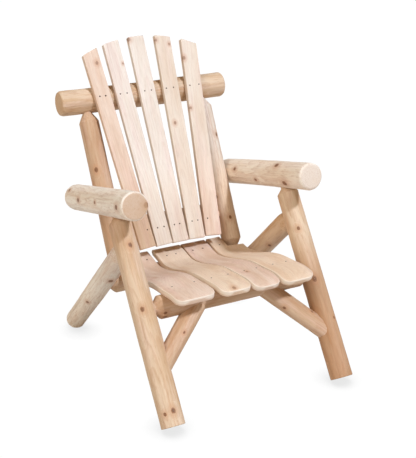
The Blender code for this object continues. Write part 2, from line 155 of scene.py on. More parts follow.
# --- Meshes ----------------------------------------------------------------------------


def grid_faces(rings, columns):
    """The faces of a tube of rings."""
    faces = []
    for ring in range(rings - 1):
        low, high = ring * columns, (ring + 1) * columns
        for column in range(columns):
            after = (column + 1) % columns
            faces.append((low + column, low + after, high + after, high + column))
    return faces


def make_object(name, points, faces, matrix, sharp_angle=50.0):
    """A smooth-shaded mesh object from points in its own frame."""
    mesh = bpy.data.meshes.new(name)
    mesh.from_pydata([tuple(p) for p in points], [], faces)
    mesh.validate()
    mesh.update()
    bm = bmesh.new()
    bm.from_mesh(mesh)
    bmesh.ops.recalc_face_normals(bm, faces=bm.faces)
    bm.to_mesh(mesh)
    bm.free()
    mesh.shade_smooth()
    mesh.set_sharp_from_angle(angle=radians(sharp_angle))
    obj = bpy.data.objects.new(name, mesh)
    bpy.context.scene.collection.objects.link(obj)
    obj.matrix_world = matrix
    return obj


def write_attribute(obj, name, values):
    """Gives a value at each vertex to the material."""
    attribute = obj.data.attributes.new(name, "FLOAT", "POINT")
    attribute.data.foreach_set("value", np.asarray(values, np.float32))


def stations(profile):
    """Where a log has a section: evenly, and close together at the profile's corners."""
    first, last = profile[0][0], profile[-1][0]
    places = list(np.linspace(first, last, int((last - first) / RING_STEP) + 1))
    for distance, _ in profile:
        for nudge in (-3.0, -1.6, -0.8, 0.0, 0.8, 1.6, 3.0):
            places.append(distance + nudge * MM)
    places = np.array(sorted(p for p in places if first <= p <= last))
    keep = np.append(True, np.diff(places) > 0.3 * MM)
    return places[keep]


def rounded_radius(profile, places):
    """The profile's radius, with its corners eased over a couple of millimetres."""
    distances, radii = zip(*profile)
    nudges = np.linspace(-1.8, 1.8, 7) * MM
    eased = np.mean([np.interp(places + n, distances, radii) for n in nudges], axis=0)
    ends = (places < distances[0] + 2.5 * MM) | (places > distances[-1] - 2.5 * MM)
    return np.where(ends, np.interp(places, distances, radii), eased)


class Log:
    """What makes one log differ from a turned rod."""

    def __init__(
        self, seed, knots=(), checks=(), tone="tan", taper=0.0, bow=0.8, dome=0.0, second=None,
        end_tone=None,
    ):
        self.seed = seed
        self.knots = knots  # (distance along, angle from the front in degrees, radius in mm)
        self.checks = checks  # (from, to, angle in degrees, width in mm, depth in mm)
        self.tone = tone
        self.taper = taper  # mm of radius gained from one end to the other
        self.bow = bow  # mm
        self.dome = dome  # mm by which the ends bulge
        self.second = second  # (another tone, where it starts, where it is full)
        self.end_tone = end_tone or tone


def flats(rng, count):
    """Edges of the long flats that a drawknife leaves round a log."""
    steps = rng.uniform(0.6, 1.4, count)
    return np.cumsum(steps) * 2 * pi / steps.sum()


def flat_dip(angle, edges):
    """How far under the full radius each angle lies, as a share, where flats join edges."""
    angle = np.mod(angle, 2 * pi)
    index = np.searchsorted(edges, angle) % len(edges)
    high = edges[index]
    low = np.where(index == 0, 0.0, edges[index - 1])
    half = (high - low) / 2
    middle = (high + low) / 2
    return 1 - np.cos(half) / np.cos(np.clip(angle - middle, -half, half))


def angle_gap(angles, middle):
    """The signed turn from the middle to each angle, within half a turn."""
    return (angles - middle + pi) % (2 * pi) - pi


def check_columns(log, full):
    """(angle, number of the check or None, offset in its widths) of each column round a log."""
    columns = [(2 * pi * index / COLUMNS, None, 0.0) for index in range(COLUMNS)]
    for number, (_, _, turn, width, _) in enumerate(log.checks):
        angle = radians(turn) % (2 * pi)
        columns = [
            column for column in columns
            if column[1] is not None or abs(angle_gap(column[0], angle)) > CHECK_CLEAR / full
        ]
        for offset in CHECK_OFFSETS:
            columns.append(((angle + offset * width * MM / full) % (2 * pi), number, offset))
    return sorted(columns, key=lambda column: column[0])


def open_checks(rng, log, places, columns, peeled, full):
    """The columns' angles at each place, how deep each check makes them, and how much painted shade
    each puts in them.
    """
    angles = np.array([column[0] for column in columns])[None, :] + np.zeros((len(places), 1))
    depth = np.zeros_like(angles)
    crack_shade = np.zeros_like(angles)
    for number, (first, last, turn, width, deep) in enumerate(log.checks):
        wander = Waves(rng, 5, 0, 0.25)
        path = wander(0.0, places) * 1.6 * MM / full
        share = np.clip((places - first) / (last - first), 0.0, 1.0)
        open_share = np.sin(pi * share) ** 0.6 * (0.75 + 0.25 * wander(0.0, places * 7))
        open_share = np.clip(open_share, 0.0, 1.0) * peeled
        apart = np.abs(angle_gap(angles, radians(turn) % (2 * pi)))
        angles += path[:, None] * smooth_step(0.7, 0.15, apart)
        for index, (_, owner, offset) in enumerate(columns):
            if owner != number:
                continue
            angles[:, index] += offset * width * MM / full * (open_share - 1) * 0.8
            reach = max(0.0, 1 - abs(offset) / CHECK_LIP)
            depth[:, index] += deep * MM * open_share * reach**0.7
            crack_shade[:, index] = np.maximum(crack_shade[:, index], open_share * min(1.0, reach * 1.6))
    return angles, depth, crack_shade


def cap_ends(grid, faces, depth, crack_shade, dome):
    """Closes a log's ends, a little domed. It returns the rings' points and the painted shade of
    their checks.
    """
    rings, count, _ = grid.shape
    points, shade_marks = [grid.reshape(-1, 3)], [crack_shade.reshape(-1)]
    total = rings * count
    for ring, direction in ((0, 1), (rings - 1, -1)):
        rim = grid[ring]
        previous = ring * count
        for share in CAP_SHARES:
            sink = 0.25 * MM * sin(9 * share) + depth[ring] * share**3
            cap = rim * (share, share, 1.0)
            cap[:, 2] = rim[:, 2] + direction * (sink - dome * (1 - share**2))
            points.append(cap)
            shade_marks.append(crack_shade[ring] * share)
            for column in range(count):
                after = (column + 1) % count
                faces.append((previous + column, previous + after, total + after, total + column))
            previous = total
            total += count
        points.append((rim.mean(axis=0) - (0, 0, direction * dome))[None, :])
        shade_marks.append(np.zeros(1))
        for column in range(count):
            faces.append((previous + column, previous + (column + 1) % count, total))
        total += 1
    return np.concatenate(points), np.concatenate(shade_marks)


def make_log(name, start, end, profile, log):
    """A peeled log: turned profile, drawknife flats, swollen knots and open drying checks."""
    rng = np.random.default_rng(log.seed)
    length = (end - start).length
    places = stations(profile)
    along = places[:, None]
    base = rounded_radius(profile, places)
    full = max(radius for _, radius in profile)
    peeled = smooth_step(0.86 * full, 0.99 * full, base)  # 0 on tenons and shoulders
    columns = check_columns(log, full)
    angles, depth, crack_shade = open_checks(rng, log, places, columns, peeled, full)

    shape = Waves(rng, 9, 3, 0.55)
    ripple = Waves(rng, 14, 9, 0.09)
    edges_a, edges_b = flats(rng, 13), flats(rng, 15)
    blend = smooth_step(-0.35, 0.35, Waves(rng, 6, 0, 0.35)(0.0, along))
    dip = flat_dip(angles, edges_a) * (1 - blend) + flat_dip(angles, edges_b) * blend
    radius = base[:, None] + np.zeros_like(angles)
    rough = peeled[:, None]
    radius += rough * MM * (0.55 * shape(angles, along) + 0.16 * ripple(angles, along))
    radius -= (0.2 + 0.6 * rough) * (dip - dip.mean()) * full * 0.8
    radius += rough * log.taper * MM * (along / length - 0.5)
    for distance, turn, size, *_ in log.knots:
        away = np.hypot((along - distance) / 1.5, angle_gap(angles, radians(turn)) * full)
        radius += rough * 0.17 * size * MM * np.exp(-((away / (1.7 * size * MM)) ** 2))
    radius -= depth

    bow_side = rng.uniform(0, 2 * pi)
    bow = (log.bow * MM * np.sin(pi * places / length) * peeled)[:, None]
    x = radius * np.cos(angles) + bow * cos(bow_side)
    y = radius * np.sin(angles) + bow * sin(bow_side)
    grid = np.stack([x, y, along + np.zeros_like(angles)], -1)
    faces = grid_faces(len(places), len(columns))
    points, shade_marks = cap_ends(grid, faces, depth, crack_shade, log.dome * MM)
    matrix = log_matrix(start, end)
    turn, move = np.array(matrix)[:3, :3], np.array(matrix)[:3, 3]
    world = points @ turn.T + move
    world[:, 2] = np.maximum(world[:, 2], 0.0)  # the feet stand on the floor
    obj = make_object(name, (world - move) @ turn, faces, matrix, sharp_angle=60)
    # painted shade inside the drying checks
    write_attribute(obj, "check", shade_marks)
    return obj



# --- Boards ----------------------------------------------------------------------------


def hull_2d(points):
    """The convex outline of flat points, anticlockwise."""
    ordered = sorted(set((round(u, 6), round(v, 6)) for u, v in points))

    def half(sequence):
        chain = []
        for p in sequence:
            while len(chain) > 1:
                (ax, ay), (bx, by) = chain[-2], chain[-1]
                if (bx - ax) * (p[1] - ay) - (by - ay) * (p[0] - ax) > 1e-9:
                    break
                chain.pop()
            chain.append(p)
        return chain[:-1]

    return half(ordered) + half(ordered[::-1])


class BackPlane:
    """The plane of the back: x across, v up the posts, and forwards out of it."""

    def __init__(self, start, end):
        self.origin = Vector((0.0, start.y, start.z))
        self.up = (end - start).normalized()
        self.forward = Vector((0.0, -self.up.z, self.up.y))

    def read(self, point):
        rel = point - self.origin
        return rel.x, rel.dot(self.up), rel.dot(self.forward)

    def point(self, x, up, forward):
        return self.origin + Vector((x, 0, 0)) + self.up * up + self.forward * forward


def section_ring(half_width, half_thick, radius, across):
    """A board's section with eased edges, as (u, w) points round it."""
    flat, side = half_width - radius, half_thick - radius
    us = np.linspace(-flat, flat, across)
    ws = np.linspace(side, -side, 4)
    bends = [(radius * sin(turn), radius * cos(turn)) for turn in np.linspace(0, pi / 2, 5)[1:-1]]
    ring = [(u, half_thick) for u in us]
    ring += [(flat + s, side + c) for s, c in bends]
    ring += [(half_width, w) for w in ws]
    ring += [(flat + c, -side - s) for s, c in bends]
    ring += [(u, -half_thick) for u in us[::-1]]
    ring += [(-flat - s, -side - c) for s, c in bends]
    ring += [(-half_width, w) for w in ws[::-1]]
    ring += [(-flat - c, side + s) for s, c in bends]
    return np.array(ring)


def close_ends(points, faces, rings, columns):
    """Closes both ends of a tube of rings with a smaller ring and a fan."""
    total = rings * columns
    grid = points[:total].reshape(rings, columns, 3)
    extra = []
    for ring in (0, rings - 1):
        centre = grid[ring].mean(axis=0)
        middle = grid[ring] * 0.4 + centre * 0.6
        extra += [middle, centre[None, :]]
        start = ring * columns
        for column in range(columns):
            after = (column + 1) % columns
            faces.append((start + column, start + after, total + after, total + column))
            faces.append((total + column, total + after, total + columns))
        total += columns + 1
    return np.concatenate([points, *extra]), faces


def slat_outline(outline):
    """A slat's two foot corners and a head corner, from its outline's two longest edges."""
    edges = zip(outline, outline[1:] + outline[:1])
    runs = sorted((hypot(b[0] - a[0], b[1] - a[1]), a, b) for a, b in edges)
    (_, r0, r1), (_, l0, l1) = sorted(runs[-2:], key=lambda run: -run[1][0])
    foot_right, head_right = sorted((r0, r1), key=itemgetter(1))
    foot_left, _ = sorted((l0, l1), key=itemgetter(1))
    return foot_right, foot_left, head_right


def make_back_slat(name, plane, seed):
    """A straight board with eased edges, its head sawn to the arc of the fan."""
    rng = np.random.default_rng(seed)
    read = [plane.read(v.co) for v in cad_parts[name].data.vertices]
    front, back = max(r[2] for r in read), min(r[2] for r in read)
    outline = hull_2d([(r[0], r[1]) for r in read])
    foot_right, foot_left, head_right = map(Vector, slat_outline(outline))
    along = (head_right - foot_right).normalized()
    across = Vector((along.y, -along.x))
    foot = (foot_right + foot_left) / 2
    width = (foot_right - foot_left).dot(across)
    rel = [Vector(corner) - foot for corner in outline]
    head = sorted((p.dot(across), p.dot(along)) for p in rel if p.dot(along) > 0.3)
    ring = section_ring(width / 2, (front - back) / 2, BACK_EDGE_R, 9)
    heights = np.interp(ring[:, 0], *zip(*head))
    shares = np.linspace(0, 1, 110)
    shares = np.concatenate([[0, 0.0008, 0.0022], shares[1:-1], [0.9978, 0.9992, 1]])
    bend, cup = Waves(rng, 4, 0, 0.9), Waves(rng, 5, 1, 0.35)
    rows = []
    for share in shares:
        end_gap = min(share, 1 - share) * heights
        ease = 1.2 * MM * np.clip(1 - end_gap / (1.4 * MM), 0, 1)
        u = ring[:, 0] - np.sign(ring[:, 0]) * ease * (np.abs(ring[:, 0]) > width / 2 - 2 * MM)
        w = ring[:, 1] - np.sign(ring[:, 1]) * ease
        z = share * heights
        lift = 0.15 * MM * bend(0.0, z) + 0.01 * MM * cup(ring[:, 0] * 60, z) - 0.2 * MM
        rows.append(np.stack([w + lift, u, z], -1))
    faces = grid_faces(len(shares), len(ring))
    points, faces = close_ends(np.concatenate(rows), faces, len(shares), len(ring))
    origin = plane.point(foot.x, foot.y, (front + back) / 2)
    z_axis = plane.up * along.y + Vector((along.x, 0, 0))
    x_axis = plane.forward
    turn = Matrix((x_axis, z_axis.cross(x_axis), z_axis)).transposed().to_4x4()
    return make_object(name, points, faces, Matrix.Translation(origin) @ turn)


def seat_profile(name):
    """A seat slat's top line from its foremost point back, as (y, z) points."""
    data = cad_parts[name].data
    tree = BVHTree.FromPolygons([v.co for v in data.vertices], [p.vertices for p in data.polygons])
    low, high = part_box(name)
    inner, outer = sorted((low.x, high.x), key=abs)
    x = inner * 0.58 + outer * 0.42  # clear of the nails, and of the notch beside a post
    top = []
    for y in np.arange(low.y + 1 * MM, high.y, 3 * MM):
        hit = tree.ray_cast(Vector((x, y, 1.0)), Vector((0, 0, -1)))[0]
        if hit:
            top.append((hit.y, hit.z))
    front = []
    for z in np.arange(low.z + 0.5 * MM, top[0][1], 0.5 * MM):
        hit = tree.ray_cast(Vector((x, low.y - 0.1, z)), Vector((0, 1, 0)))[0]
        if hit:
            front.append((hit.y, hit.z))
    foremost = min(range(len(front)), key=lambda index: front[index][0])
    return np.array(front[foremost::4] + top)


def resample(line, count):
    """The line at even distances, smoothed a little."""
    runs = np.append(0, np.cumsum(np.hypot(*np.diff(line, axis=0).T)))
    even = np.linspace(0, runs[-1], count)
    line = np.stack([np.interp(even, runs, line[:, 0]), np.interp(even, runs, line[:, 1])], -1)
    for _ in range(6):
        line[1:-1] = (line[:-2] + 2 * line[1:-1] + line[2:]) / 4
    return line, runs[-1]


def quarter_round(radius, gap):
    """How far a rounded corner lies inside its square one, at a gap from the end."""
    return radius - sqrt(max(0.0, radius**2 - (radius - gap) ** 2)) if gap < radius else 0.0


def make_seat_slat(name, line, notch_side, seed):
    """A broad board that follows the seat's curve, with rounded front corners."""
    rng = np.random.default_rng(seed)
    low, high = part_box(name)
    half = (high.x - low.x) / 2
    middle = (high.x + low.x) / 2
    count = 170
    path, length = resample(line, count)
    runs = np.linspace(0, length, count)
    slope = np.gradient(path, axis=0)
    slope /= np.linalg.norm(slope, axis=1)[:, None]
    head = np.array([0.0, 0.35, 0.9, 1.8, 3.0]) * MM
    places = np.concatenate([head, runs[runs > 4.5 * MM][:-2], length - head[::-1]])
    warp, ripple = Waves(rng, 6, 2, 0.5), Waves(rng, 10, 6, 0.08)
    edge = SEAT_EDGE_R
    rows, sanded = [], []
    for place in places:
        at_y, at_z, slope_y, slope_z = (
            np.interp(place, runs, values) for values in (*path.T, *slope.T)
        )
        inset = quarter_round(SEAT_CORNER_R, place)
        ease = quarter_round(edge, min(place, length - place))
        widths = [half - inset, half - inset]  # to -X and to +X of the middle
        if notch_side:
            cut = smooth_step(NOTCH_Y - 2.5 * MM, NOTCH_Y + 0.5 * MM, at_y)
            side = 1 if notch_side > 0 else 0
            tongue = NOTCH_X[notch_side] - middle * notch_side
            widths[side] = widths[side] * (1 - cut) + tongue * cut
        half_thick = SEAT_THICK / 2 - ease
        half_wide = (widths[0] + widths[1]) / 2
        ring = section_ring(half_wide, half_thick, min(edge, half_thick - 0.5 * MM), 19)
        u = ring[:, 0] + (widths[1] - widths[0]) / 2
        w = ring[:, 1] - SEAT_THICK / 2
        w = w + 0.2 * MM * warp(u * 14, place) + 0.06 * MM * ripple(u * 40, place) - 0.2 * MM
        rows.append(np.stack([u + middle, at_y - slope_z * w, at_z + slope_y * w], -1))
        # Painted highlight: paler colour on top along the eased side edges of the front part and
        # over the nose, where the light catches them.
        outer = 1 - np.minimum(u + widths[0], widths[1] - u) / (1.3 * edge)
        on_top = smooth_step(-SEAT_THICK, -0.25 * SEAT_THICK, w)
        forward = 1 - smooth_step(0.15, 0.36, place)
        nose = 1 - smooth_step(0.3 * edge, 1.2 * edge, place)
        sanded.append(np.clip(np.maximum(outer * forward, nose), 0, 1) * on_top)
    columns = len(rows[0])
    faces = grid_faces(len(places), columns)
    points, faces = close_ends(np.concatenate(rows), faces, len(places), columns)
    ends = np.zeros(len(points) - len(places) * columns)
    # The piece's own frame: +X up, +Y to the sitter's right and +Z forwards along the grain.
    turn = Matrix(((0, -1, 0), (0, 0, -1), (1, 0, 0)))
    matrix = Matrix.Translation((middle, low.y, high.z)) @ turn.to_4x4()
    inverse = np.array(matrix.inverted())
    local = points @ inverse[:3, :3].T + inverse[:3, 3]
    obj = make_object(name, local, faces, matrix)
    write_attribute(obj, "sanded", np.concatenate([*sanded, ends]))
    return obj



# --- Materials -------------------------------------------------------------------------


class Nodes:
    """A short way to write a node tree."""

    def __init__(self, tree):
        self.tree = tree

    def add(self, kind, inputs=None, **settings):
        node = self.tree.nodes.new(kind)
        for key, value in settings.items():
            setattr(node, key, value)
        for key, value in (inputs or {}).items():
            self.put(node.inputs[key], value)
        return node

    def put(self, socket, value):
        if isinstance(value, bpy.types.NodeSocket):
            self.tree.links.new(value, socket)
        else:
            socket.default_value = value

    def math(self, operation, a, b=0.0):
        return self.add("ShaderNodeMath", {0: a, 1: b}, operation=operation).outputs[0]

    def plus(self, a, b):
        return self.math("ADD", a, b)

    def minus(self, a, b):
        return self.math("SUBTRACT", a, b)

    def times(self, a, b):
        return self.math("MULTIPLY", a, b)

    def centred(self, value, size):
        """A 0 to 1 value as one that swings by half the size either way."""
        return self.times(self.minus(value, 0.5), size)

    def vector(self, operation, a, b=(0.0, 0.0, 0.0)):
        node = self.add("ShaderNodeVectorMath", {0: a, 1: b}, operation=operation)
        return node.outputs["Value" if operation == "LENGTH" else "Vector"]

    def mix(self, factor, a, b, blend="MIX"):
        settings = {"data_type": "RGBA", "blend_type": blend}
        return self.add("ShaderNodeMix", {0: factor, 6: a, 7: b}, **settings).outputs[2]

    def noise(self, vector, scale, detail=2.0, roughness=0.5):
        """Noise at a scale, or at its own scale along each axis."""
        if isinstance(scale, tuple):
            vector, scale = self.vector("MULTIPLY", vector, scale), 1.0
        inputs = {"Vector": vector, "Scale": scale, "Detail": detail, "Roughness": roughness}
        return self.add("ShaderNodeTexNoise", inputs).outputs["Fac"]

    def split(self, vector):
        return self.add("ShaderNodeSeparateXYZ", {0: vector}).outputs

    def ramp(self, factor, low, high, out_low=0.0, out_high=1.0):
        """A smooth step from low to high, which may be the other way round."""
        limits = {"From Min": low, "From Max": high, "To Min": out_low, "To Max": out_high}
        node = self.add(
            "ShaderNodeMapRange", {"Value": factor, **limits}, interpolation_type="SMOOTHSTEP"
        )
        return node.outputs[0]


def rgb(red, green, blue):
    """An sRGB colour, 0 to 255, as the linear colour that a shader takes."""
    def linear(value):
        value /= 255
        return value / 12.92 if value <= 0.04045 else ((value + 0.055) / 1.055) ** 2.4

    return (linear(red), linear(green), linear(blue), 1.0)


# Each tone: pale wood, warm wood, and the blush that comes and goes along the grain.
TONES = {
    "tan": (rgb(220, 196, 168), rgb(204, 170, 134), rgb(222, 194, 170)),
    "rose": (rgb(208, 178, 148), rgb(188, 150, 116), rgb(210, 176, 152)),
    "ruddy": (rgb(194, 156, 122), rgb(172, 130, 94), rgb(196, 156, 124)),
    "pale": (rgb(246, 237, 224), rgb(239, 222, 203), rgb(244, 230, 216)),
    "ivory": (rgb(236, 228, 216), rgb(222, 204, 186), rgb(232, 214, 202)),
    "cream": (rgb(228, 214, 198), rgb(220, 200, 180), rgb(228, 208, 194)),
    "white": (rgb(232, 222, 210), rgb(226, 212, 198), rgb(232, 214, 204)),
    "honey": (rgb(232, 210, 186), rgb(222, 193, 164), rgb(230, 204, 182)),
    "blush": (rgb(228, 206, 188), rgb(216, 186, 162), rgb(228, 198, 182)),
}
LATE_WOOD = rgb(176, 118, 78)
FLECK = rgb(176, 126, 88)
STREAK = rgb(186, 134, 94)
END_RING = rgb(190, 146, 110)
END_RAY = rgb(188, 146, 110)
KNOT_HALO = rgb(190, 132, 90)
KNOT_HEART = rgb(104, 70, 46)
KNOT_RIM = rgb(150, 100, 66)
STAIN = rgb(150, 106, 72)
PAINTED_HIGHLIGHT = rgb(246, 236, 222)
CHECK_SHADE = rgb(70, 44, 28)


def knot_masks(n, place, shifted, knots, board):
    """Where the knots' cores, halos and rings are, and how far they bend the grain."""
    core = halo = whorl = None
    bend = n.times(0.0, 0.0)
    wobble = n.times(n.centred(n.noise(shifted, 150.0), 0.9), 0.55)
    squash = (0.35, 1.0, 0.8) if board else (1.0, 1.0, 0.75)
    for spot, size in knots:
        away = n.vector("MULTIPLY", n.vector("SUBTRACT", place, spot), squash)
        reach = n.math("DIVIDE", n.vector("LENGTH", away), size * MM)
        uneven = n.plus(reach, wobble)
        here = n.ramp(uneven, 1.15, 0.8)
        near = n.ramp(uneven, 3.6, 0.7)
        rings = n.times(n.math("SINE", n.times(uneven, 11.0)), here)
        core = here if core is None else n.math("MAXIMUM", core, here)
        halo = near if halo is None else n.math("MAXIMUM", halo, near)
        whorl = rings if whorl is None else n.plus(whorl, rings)
        bend = n.plus(bend, n.times(near, 2.2 * size * MM))
    if core is None:
        core = halo = whorl = bend
    return core, halo, whorl, bend


def late_wood(n, place, shifted, pith, bend, ring_gap):
    """The dark side of each growth ring, round a pith that drifts."""
    x, y, z = n.split(place)
    dx, dy = n.minus(x, pith[0]), n.minus(y, pith[1])
    distance = n.math("SQRT", n.plus(n.times(dx, dx), n.times(dy, dy)))
    distance = n.plus(distance, n.centred(n.noise(shifted, (9.0, 9.0, 2.2)), 0.028))
    distance = n.plus(distance, n.centred(n.noise(shifted, (60.0, 60.0, 9.0)), 0.0035))
    distance = n.plus(distance, n.times(z, 0.012))
    phase = n.math("FRACT", n.math("DIVIDE", n.plus(distance, bend), ring_gap))
    return n.times(n.ramp(phase, 0.35, 0.93), n.ramp(phase, 1.0, 0.95))


def end_grain(n, late, shifted, colour, end_colour):
    """The colour, with that of end grain where the surface faces along the log."""
    normal = n.add("ShaderNodeNewGeometry").outputs["Normal"]
    own_normal = n.add(
        "ShaderNodeVectorTransform", {0: normal}, vector_type="NORMAL",
        convert_from="WORLD", convert_to="OBJECT",
    ).outputs[0]
    lengthwise = n.math("ABSOLUTE", n.split(own_normal)[2])
    rings = n.mix(n.times(late, 0.35), end_colour, END_RING)
    rays = n.noise(shifted, (420.0, 420.0, 40.0))
    rings = n.mix(n.ramp(rays, 0.42, 0.75, 0.0, 0.45), rings, END_RAY)
    return n.mix(n.times(n.ramp(lengthwise, 0.72, 0.94), 0.72), colour, rings)


def wood_material(
    name, tone, seed, knots, board, ring_gap=3.4 * MM, pith=(0.0, 0.0), stain=0.35, second=None,
    end_tone=None,
):
    """Cedar: growth rings round a pith, fibres, colour that drifts, knots and stains."""
    material = bpy.data.materials.new(name)
    material.use_nodes = True
    shader = material.node_tree.nodes["Principled BSDF"]
    n = Nodes(material.node_tree)
    place = n.add("ShaderNodeTexCoord").outputs["Object"]
    shifted = n.vector("ADD", place, (seed * 0.37, seed * 0.11, seed * 0.73))
    core, halo, whorl, bend = knot_masks(n, place, shifted, knots, board)
    late = late_wood(n, place, shifted, pith, bend, ring_gap)
    fibre = n.noise(shifted, (900.0, 900.0, 26.0), 3.0, 0.6)
    streak = n.noise(shifted, (160.0, 160.0, 5.0), 3.0, 0.6)
    mottle = n.noise(shifted, (170.0, 170.0, 34.0), 4.0, 0.65)
    patch = n.noise(shifted, (22.0, 22.0, 3.4), 3.0, 0.55)
    elsewhere = n.vector("ADD", shifted, (3.1, 5.7, 1.3))
    patch_two = n.noise(elsewhere, (30.0, 30.0, 4.6), 3.0, 0.55)

    # The tone, which may turn into another one along the grain.
    pale, warm, blush = TONES[tone]
    if second:
        other, begin, full = second
        turned = n.ramp(n.plus(n.split(place)[2], n.centred(patch, 0.25)), begin, full)
        pale, warm, blush = (n.mix(turned, a, b) for a, b in zip(TONES[tone], TONES[other]))
    colour = n.mix(n.ramp(patch, 0.36, 0.68), pale, warm)
    colour = n.mix(n.times(n.ramp(patch_two, 0.45, 0.72), 0.75), colour, blush)

    # Rings, flecks, streaks, stains and fibres. A planed board shows less of them.
    colour = n.mix(n.times(late, 0.09 if board else 0.18), colour, LATE_WOOD)
    colour = n.mix(n.times(n.ramp(mottle, 0.5, 0.72), 0.12 if board else 0.34), colour, FLECK)
    colour = n.mix(n.times(n.ramp(streak, 0.52, 0.78), 0.16 if board else 0.36), colour, STREAK)
    stained = n.plus(n.times(patch_two, 0.6), n.times(streak, 0.5))
    colour = n.mix(n.times(n.ramp(stained, 0.60, 0.80), stain), colour, STAIN)
    shade = n.ramp(fibre, 0.3, 0.7, 0.93, 1.05)
    grey = n.add("ShaderNodeCombineColor", {0: shade, 1: shade, 2: shade}).outputs[0]
    colour = n.mix(1.0, colour, grey, "MULTIPLY")

    # Knots, then end grain, then painted shade in a log's drying checks or a painted highlight on a
    # board's eased edges.
    colour = n.mix(n.times(halo, 0.42), colour, KNOT_HALO)
    knot = n.mix(n.ramp(whorl, -0.7, 0.8), KNOT_HEART, KNOT_RIM)
    colour = n.mix(n.times(core, 0.6 if board else 0.9), colour, knot)
    colour = end_grain(n, late, shifted, colour, TONES[end_tone or tone][1])
    mark = n.add("ShaderNodeAttribute", attribute_name="sanded" if board else "check").outputs["Fac"]
    if board:
        # painted highlight: the eased edges and nose paler where the light catches them
        colour = n.mix(n.times(n.ramp(mark, 0.1, 0.8), 0.6), colour, PAINTED_HIGHLIGHT)
    else:
        # painted shade: the drying checks darkened inside
        colour = n.mix(n.times(n.ramp(mark, 0.05, 0.7), 0.93), colour, CHECK_SHADE)
    n.put(shader.inputs["Base Color"], colour)

    rough = n.ramp(n.plus(n.times(fibre, 0.5), n.times(patch, 0.5)), 0.3, 0.7, 0.62, 0.8)
    n.put(shader.inputs["Roughness"], n.minus(rough, n.times(core, 0.2)))
    shader.inputs["Specular IOR Level"].default_value = 0.32
    relief = n.plus(n.times(fibre, 0.5), n.times(streak, 0.6))
    relief = n.plus(n.minus(relief, n.times(late, 0.35)), n.times(whorl, 0.5))
    strength = 0.16 if board else 0.35
    bump = {"Height": relief, "Strength": strength, "Distance": 0.35 * MM}
    n.put(shader.inputs["Normal"], n.add("ShaderNodeBump", bump).outputs[0])
    return material


def nail_material():
    material = bpy.data.materials.new("dark_nail_steel")
    material.use_nodes = True
    n = Nodes(material.node_tree)
    shader = material.node_tree.nodes["Principled BSDF"]
    place = n.add("ShaderNodeTexCoord").outputs["Object"]
    rust = n.noise(place, 900.0, 3.0)
    colour = n.mix(n.ramp(rust, 0.4, 0.7), rgb(74, 62, 56), rgb(112, 80, 58))
    n.put(shader.inputs["Base Color"], colour)
    n.put(shader.inputs["Roughness"], n.ramp(rust, 0.3, 0.7, 0.45, 0.7))
    shader.inputs["Metallic"].default_value = 0.6
    bump = n.add("ShaderNodeBump", {"Height": rust, "Strength": 0.3, "Distance": 0.1 * MM})
    n.put(shader.inputs["Normal"], bump.outputs[0])
    return material


# --- The chair's pieces ----------------------------------------------------------------

def finish_piece(obj, material):
    """Gives a piece its material and its place in the frame."""
    obj.data.materials.append(material)
    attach(obj, "root")
    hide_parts(obj.name.removesuffix("_look"))


